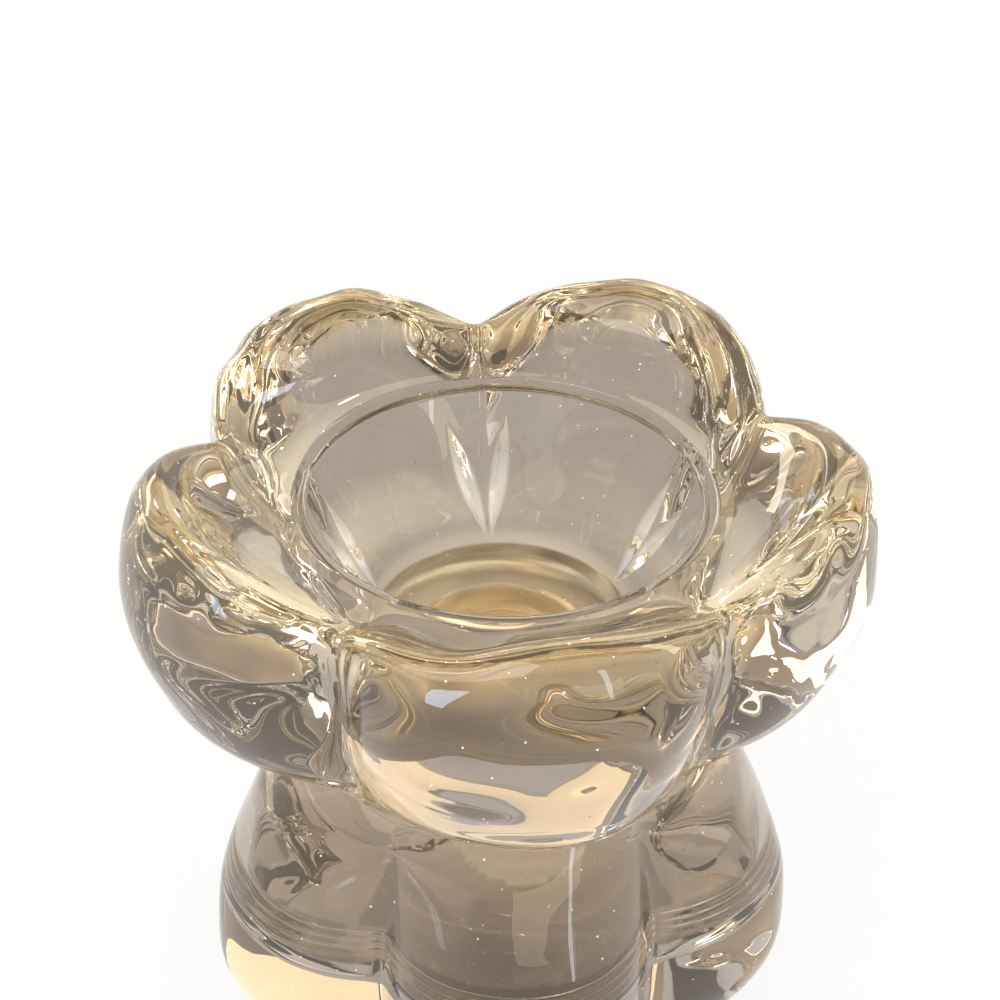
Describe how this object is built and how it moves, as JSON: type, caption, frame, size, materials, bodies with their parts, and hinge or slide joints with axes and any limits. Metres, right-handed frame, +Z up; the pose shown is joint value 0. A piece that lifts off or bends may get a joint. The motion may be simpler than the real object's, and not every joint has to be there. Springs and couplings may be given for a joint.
{
  "type": "floating candle bowl",
  "caption": "Clear glass flower-shaped candle bowl with a conical well, lifting out of the mouth of a hollow lobed glass base.",
  "frame": {"origin": "centre of the flat underside of the lobed base", "axes": "+Z up through the well, the middle of one petal towards -Y"},
  "size_m": [0.1185, 0.1156, 0.1134],
  "materials": {
    "base_glass": "polished clear, faint warm grey",
    "bowl_glass": "fire-polished clear, faint warm tint"
  },
  "bodies": {
    "base": {"lobed_base": "base_glass"},
    "bowl": {"petal_bowl": "bowl_glass"}
  },
  "joints": [
    {"name": "bowl_lift", "type": "slide", "parent": "base", "child": "bowl", "axis": [0, 0, 1], "range_m": [0, 0.08]}
  ]
}
